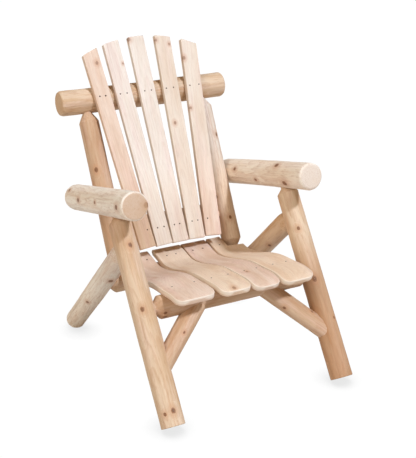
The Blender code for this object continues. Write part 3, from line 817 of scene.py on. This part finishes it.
LOGS = {
    "front_leg_right": Log(
        11, tone="tan", taper=-1.0, second=("rose", 0.5, 0.75),
        knots=((0.579, -1, 6.5), (0.373, -23, 6.5), (0.048, -4, 7), (0.043, -46, 5), (0.24, 60, 5)),
        checks=((0.08, 0.30, 150, 1.6, 5),),
    ),
    "front_leg_left": Log(
        12, tone="ruddy", taper=-1.0, second=("tan", 0.28, 0.52),
        knots=((0.524, -30, 5.5), (0.343, -24, 8), (0.20, 25, 4), (0.44, 100, 6)),
        checks=((0.30, 0.55, 170, 1.6, 5),),
    ),
    "rear_leg_right": Log(
        13, tone="pale", taper=1.0, second=("ivory", 0.3, 0.5),
        knots=((0.4905, -12, 8), (0.263, -52, 5.5), (0.12, 120, 6)),
        checks=((0.06, 0.25, -95, 1.3, 4),),
    ),
    "rear_leg_left": Log(
        14, tone="tan", taper=1.0, knots=((0.50, -35, 6), (0.33, 40, 6), (0.15, -80, 5)),
        checks=((0.10, 0.36, 80, 1.6, 5),),
    ),
    "armrest_right": Log(
        # end_tone: painted shade, this arm's end face darker, as it faces away from the light
        15, tone="pale", taper=-1.0, bow=1.5, dome=1.2, end_tone="rose",
        knots=(
            (0.408, 101, 7), (0.522, 140, 5), (0.242, 102, 5), (0.044, 98, 8), (0.30, -60, 6),
            (0.004, -83, 9, 0.8),
        ),
        checks=((0.02, 0.28, -150, 1.8, 6),),
    ),
    "armrest_left": Log(
        # end_tone: painted light, this arm's end face paler, as it faces the light
        16, tone="pale", taper=-1.0, bow=1.5, dome=1.2, end_tone="white",
        knots=((0.427, 105, 6), (0.162, 135, 8), (0.287, 62, 6), (0.105, 55, 9), (0.35, -120, 6)),
        checks=((0.25, 0.50, -170, 1.8, 6),),
    ),
    "back_post_right": Log(
        17, tone="rose", taper=-2.4, knots=((0.389, -38, 7), (0.2, 60, 5), (0.50, 150, 6)),
        checks=((0.20, 0.45, 175, 1.4, 5),),
    ),
    "back_post_left": Log(
        # painted light: the pale honey tone lightens the post's lower part, which lies in shade
        18, tone="honey", taper=-1.2, second=("ivory", 0.25, 0.45),
        knots=((0.137, -6, 5.5), (0.222, -60, 6), (0.146, -77, 5), (0.45, 30, 6)),
        checks=((0.15, 0.40, 160, 1.4, 5),),
    ),
    "top_back_rail": Log(
        19, tone="tan", taper=1.0, bow=1.2, dome=1.2,
        knots=((0.10, 60, 6), (0.55, 40, 7), (0.30, 170, 8), (0.46, -120, 6)),
        checks=((0.04, 0.42, -160, 2.0, 7),),
    ),
    "lower_back_rail": Log(
        20, tone="rose", knots=((0.12, 170, 6), (0.33, -150, 7)),
        checks=((0.08, 0.30, 140, 1.6, 5),),
    ),
    "front_seat_rail": Log(
        21, tone="rose",
        knots=((0.052, 6, 5), (0.053, 33, 6), (0.44, 60, 6), (0.30, 150, 6)),
        checks=((0.056, 0.30, 33, 1.5, 5), (0.28, 0.56, 40, 1.2, 4)),
    ),
    "rear_seat_rail": Log(
        22, tone="tan", knots=((0.15, 150, 6), (0.42, 100, 6)), checks=((0.10, 0.42, 175, 1.6, 5),)
    ),
    "knee_brace_right": Log(
        23, tone="rose", bow=0.4, knots=((0.143, -22, 4), (0.2, 70, 5)),
        checks=((0.08, 0.2, 120, 1.2, 4),),
    ),
    "knee_brace_left": Log(
        24, tone="rose", bow=0.4, knots=((0.10, 60, 5), (0.19, -30, 5)),
        checks=((0.09, 0.2, 150, 1.2, 4),),
    ),
}


def knot_spots(log, radius):
    """The knots' centres on the log's surface or its end, in its own frame."""
    spots = []
    for distance, turn, size, *inwards in log.knots:
        angle = radians(turn)
        reach = radius * (inwards[0] if inwards else 1.0)
        spots.append(((reach * cos(angle), reach * sin(angle), distance), size))
    return spots


def add_log(name, start, end, profile):
    log = LOGS[name]
    obj = make_log(name + "_look", start, end, profile, log)
    radius = max(r for _, r in profile)
    rng = np.random.default_rng(log.seed + 100)
    pith = tuple(rng.uniform(-0.18, 0.18, 2) * radius)
    material = wood_material(
        f"cedar_{name}", log.tone, log.seed, knot_spots(log, radius), False, pith=pith,
        second=log.second, end_tone=log.end_tone,
    )
    finish_piece(obj, material)


def make_leg(name, heading, shoulder):
    """A leg, square-cut at its foot and tenoned at its top. It returns the leg's axis."""
    low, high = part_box(name)
    radius = (high.x - low.x) / 2
    start, end = turned_axis(name, heading, [(0.0, radius)], [(0.0, TENON_R)], FOOT_SUNK)
    length = (end - start).length
    profile = [
        (0.0, radius - FOOT_EDGE),
        (FOOT_EDGE, radius),
        (length - TENON_LENGTH - shoulder, radius),
        (length - TENON_LENGTH, TENON_R),
        (length, TENON_R),
    ]
    add_log(name, start, end, profile)
    return start, end


def make_armrest(side_word):
    rings = [(0.0, ARM_R - END_CHAMFER), (END_CHAMFER, ARM_R)]
    name = f"armrest_{side_word}"
    start, end = turned_axis(name, (-SIDES[side_word], 1, -1), rings, rings)
    add_log(name, start, end, softened((end - start).length, ARM_R))


def softened(length, radius):
    """A log's profile with both ends sanded round."""
    end = [(distance * MM, radius - drop * MM) for distance, drop in SOFT_END]
    return end + [(length - distance, r) for distance, r in reversed(end)]


def tenoned(length, radius, tenon_r, first, last):
    """A log's profile with a tenon and a cone-shaped shoulder at each end."""
    return [
        (0.0, tenon_r),
        (TENON_LENGTH, tenon_r),
        (TENON_LENGTH + first, radius),
        (length - TENON_LENGTH - last, radius),
        (length - TENON_LENGTH, tenon_r),
        (length, tenon_r),
    ]


def make_post(side_word):
    """A back post. It returns the post's axis."""
    name = f"back_post_{side_word}"
    low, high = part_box(name)
    radius = (high.x - low.x) / 2
    tip = [(0.0, POST_TENON_R)]
    start, end = turned_axis(name, (0, 1, 1), tip, tip)
    length = (end - start).length
    shoulders = (POST_FOOT_SHOULDER, POST_HEAD_SHOULDER)
    add_log(name, start, end, tenoned(length, radius, POST_TENON_R, *shoulders))
    return start, end


def make_rail(name):
    """A rail. It returns the rail's middle."""
    low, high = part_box(name)
    radius = (high.z - low.z) / 2
    middle = (low + high) / 2
    start, end = Vector((low.x, middle.y, middle.z)), Vector((high.x, middle.y, middle.z))
    length = high.x - low.x
    if name == "top_back_rail":
        profile = softened(length, radius)
    else:
        tenon = POST_TENON_R if name == "lower_back_rail" else TENON_R
        profile = tenoned(length, radius, tenon, RAIL_SHOULDER, RAIL_SHOULDER)
    add_log(name, start, end, profile)
    return middle


def make_brace(side_word, leg, rail_middle):
    """A knee brace, from the leg's axis to the front seat rail's, which hide its ends."""
    start, end = leg
    along = (end - start).normalized()
    on_leg = start + along * ((BRACE_LEG_Z[side_word] - start.z) / along.z)
    on_rail = Vector((SIDES[side_word] * BRACE_RAIL_X[side_word], rail_middle.y, rail_middle.z))
    length = (on_rail - on_leg).length
    end_r = BRACE_R - BRACE_EDGE
    profile = [(0.0, end_r), (BRACE_EDGE, BRACE_R), (length - BRACE_EDGE, BRACE_R), (length, end_r)]
    add_log(f"knee_brace_{side_word}", on_leg, on_rail, profile)


# Boards: seed, tone, how far the pith lies behind and beside the board, and the knots as
# (distance along, across, radius in mm). A seat slat also has the side of its notch.
# A back slat turns into another tone below the first height and is wholly so at the second: painted
# shade, darker and warmer towards its foot.
FOOT_SHADE_TONE = ("cream", 0.3, 0.1)
FOOT_SHADE_TONES = {"back_slat_1": ("rose", 0.3, 0.08), "back_slat_5": ("blush", 0.35, 0.1)}
BACK_BOARDS = {
    "back_slat_1": (31, "blush", (-0.05, 0.02), ((0.676, 0.013, 5.5),)),
    "back_slat_2": (32, "white", (-0.07, -0.03), ((0.662, 0.0247, 3.4),)),
    "back_slat_3": (33, "white", (-0.06, 0.01), ((0.748, -0.028, 6.0),)),
    "back_slat_4": (
        34, "cream", (-0.045, -0.02),
        ((0.425, -0.009, 5.0), (0.718, 0.0225, 4.0), (0.735, -0.027, 4.5)),
    ),
    "back_slat_5": (35, "cream", (-0.08, 0.02), ((0.66, -0.0264, 5.5), (0.472, -0.026, 4.5))),
}
SEAT_BOARDS = {
    "seat_slat_1": (41, "blush", (-0.10, 0.05), ((0.25, 0.03, 5.0),), -1),
    "seat_slat_2": (42, "honey", (-0.08, -0.03), ((0.016, 0.009, 6.5), (0.33, 0.02, 4.0)), 0),
    "seat_slat_3": (43, "blush", (-0.09, 0.03), ((0.12, 0.016, 4.5),), 0),
    "seat_slat_4": (44, "honey", (-0.11, -0.04), ((0.40, 0.02, 4.0),), 1),
}


def make_back(plane):
    for name, (seed, tone, pith, knots) in BACK_BOARDS.items():
        obj = make_back_slat(name, plane, seed)
        obj.name = name + "_look"
        spots = [((9 * MM, across, along), size) for along, across, size in knots]
        # The second tone is painted shade at the slat's foot.
        material = wood_material(
            f"cedar_{name}", tone, seed, spots, True, ring_gap=4.2 * MM, pith=pith, stain=0.18,
            second=FOOT_SHADE_TONES.get(name, FOOT_SHADE_TONE),
        )
        finish_piece(obj, material)


def make_seat():
    for name, (seed, tone, pith, knots, notch) in SEAT_BOARDS.items():
        obj = make_seat_slat(name, seat_profile(name), notch, seed)
        obj.name = name + "_look"
        spots = [((-10 * MM, across, -along), size) for along, across, size in knots]
        material = wood_material(
            f"cedar_{name}", tone, seed, spots, True, ring_gap=4.6 * MM, pith=pith, stain=0.25
        )
        finish_piece(obj, material)


# A nail's head on the CAD, and a rounder head and shank for the look: (distance, radius) in mm.
CAD_NAIL_HEAD = ((0.0, 2.3), (0.5, 3.3))
CAD_NAIL_TIP = ((0.0, 0.4),)
NAIL_PROFILE = (
    (0.02, 0.9), (0.12, 1.8), (0.34, 2.6), (0.7, 3.1), (1.1, 3.3), (1.5, 3.2), (1.55, 1.7),
    (41.0, 1.7), (48.0, 0.3),
)
NAIL_ENDS = (0.0, 48.2)
NAIL_COLUMNS = 20


def nail_mesh():
    """A nail's points and faces, from its head down +Z."""
    points = []
    for distance, radius in NAIL_PROFILE:
        for index in range(NAIL_COLUMNS):
            angle = 2 * pi * index / NAIL_COLUMNS
            points.append((radius * MM * cos(angle), radius * MM * sin(angle), distance * MM))
    faces = grid_faces(len(NAIL_PROFILE), NAIL_COLUMNS)
    for ring, tip in zip((0, len(NAIL_PROFILE) - 1), NAIL_ENDS):
        points.append((0.0, 0.0, tip * MM))
        first, last = ring * NAIL_COLUMNS, len(points) - 1
        for index in range(NAIL_COLUMNS):
            faces.append((first + index, first + (index + 1) % NAIL_COLUMNS, last))
    return points, faces


def make_nails():
    material = nail_material()
    points, faces = nail_mesh()
    head, tip = ([(d * MM, r * MM) for d, r in rings] for rings in (CAD_NAIL_HEAD, CAD_NAIL_TIP))
    for name in sorted(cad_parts):
        if "nail" not in name:
            continue
        inwards = 1 if name.startswith("back") or "rear" in name else -1
        start, end = turned_axis(name, (0, inwards, -1), head, tip)
        obj = make_object(name + "_look", points, faces, log_matrix(start, end), 40)
        finish_piece(obj, material)


def dress_dowels():
    """The arm dowels are hidden, so they keep the CAD's shape."""
    material = wood_material("birch_dowel", "honey", 51, (), True, ring_gap=2.5 * MM, stain=0.0)
    for side_word in SIDES:
        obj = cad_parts[f"arm_dowel_{side_word}"]
        obj.data.materials.clear()
        obj.data.materials.append(material)


# --- Stage -----------------------------------------------------------------------------


def place_camera():
    azimuth, elevation = radians(CAMERA_AZIMUTH), radians(CAMERA_ELEVATION)
    away = Vector((sin(azimuth) * cos(elevation), -cos(azimuth) * cos(elevation), sin(elevation)))
    data = bpy.data.cameras.new("camera")
    data.sensor_fit = "HORIZONTAL"
    data.sensor_width = 36.0
    data.lens = CAMERA_LENS
    camera = bpy.data.objects.new("camera", data)
    bpy.context.scene.collection.objects.link(camera)
    camera.location = CAMERA_AIM + away * CAMERA_DISTANCE
    camera.rotation_euler = Euler((pi / 2 - elevation, 0.0, azimuth))
    bpy.context.scene.camera = camera


def add_sun(name, towards, strength, size, colour):
    data = bpy.data.lights.new(name, "SUN")
    data.energy = strength
    data.angle = radians(size)
    data.color = colour
    obj = bpy.data.objects.new(name, data)
    bpy.context.scene.collection.objects.link(obj)
    obj.rotation_euler = Vector(towards).to_track_quat("Z", "Y").to_euler()


def set_lights():
    add_sun("key", *KEY)
    add_sun("fill", *FILL)
    world = bpy.data.worlds.new("studio")
    world.use_nodes = True
    n = Nodes(world.node_tree)
    background = world.node_tree.nodes["Background"]
    ray = n.add("ShaderNodeLightPath").outputs["Is Camera Ray"]
    n.put(background.inputs["Color"], n.mix(ray, BOUNCE_COLOUR, WHITE))
    n.put(background.inputs["Strength"], n.ramp(ray, 0.0, 1.0, BOUNCE_STRENGTH, BACKDROP_STRENGTH))
    bpy.context.scene.world = world


def add_floor():
    """A white studio floor that shows the feet's contact shadows and nothing else."""
    mesh = bpy.data.meshes.new("floor")
    half = 30.0
    corners = [(-half, -half, 0), (half, -half, 0), (half, half, 0), (-half, half, 0)]
    mesh.from_pydata(corners, [], [(0, 1, 2, 3)])
    floor = bpy.data.objects.new("floor", mesh)
    floor.location.z = -0.2 * MM
    bpy.context.scene.collection.objects.link(floor)
    material = bpy.data.materials.new("white_floor")
    material.use_nodes = True
    tree = material.node_tree
    n = Nodes(tree)
    tree.nodes.remove(tree.nodes["Principled BSDF"])
    open_sky = n.add("ShaderNodeAmbientOcclusion", {"Distance": 0.09}, samples=8).outputs["AO"]
    glow = n.add("ShaderNodeEmission", {"Strength": n.ramp(open_sky, 0.35, 1.0, 0.8, 1.02)})
    plain = n.add("ShaderNodeBsdfDiffuse", {"Color": (0.72, 0.7, 0.67, 1.0)})
    ray = n.add("ShaderNodeLightPath").outputs["Is Camera Ray"]
    chosen = n.add("ShaderNodeMixShader", {0: ray, 1: plain.outputs[0], 2: glow.outputs[0]})
    n.put(tree.nodes["Material Output"].inputs["Surface"], chosen.outputs[0])
    mesh.materials.append(material)


def main():
    place_camera()
    set_lights()
    add_floor()
    rail_middle = make_rail("front_seat_rail")
    for name in ("rear_seat_rail", "top_back_rail", "lower_back_rail"):
        make_rail(name)
    for side_word in SIDES:
        front_leg = make_leg(f"front_leg_{side_word}", (0, 1, 1), LEG_SHOULDER)
        make_leg(f"rear_leg_{side_word}", (0, -1, 1), LEG_SHOULDER + END_CHAMFER)
        make_armrest(side_word)
        post = make_post(side_word)
        make_brace(side_word, front_leg, rail_middle)
    make_back(BackPlane(*post))
    make_seat()
    make_nails()
    dress_dowels()
    bpy.context.scene.view_settings.view_transform = "Standard"


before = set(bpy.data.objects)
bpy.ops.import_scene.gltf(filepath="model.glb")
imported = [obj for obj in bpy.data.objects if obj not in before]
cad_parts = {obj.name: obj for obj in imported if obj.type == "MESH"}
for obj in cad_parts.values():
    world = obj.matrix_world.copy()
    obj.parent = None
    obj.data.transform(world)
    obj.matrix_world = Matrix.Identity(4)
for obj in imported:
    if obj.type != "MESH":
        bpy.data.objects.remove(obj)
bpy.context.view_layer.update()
main()
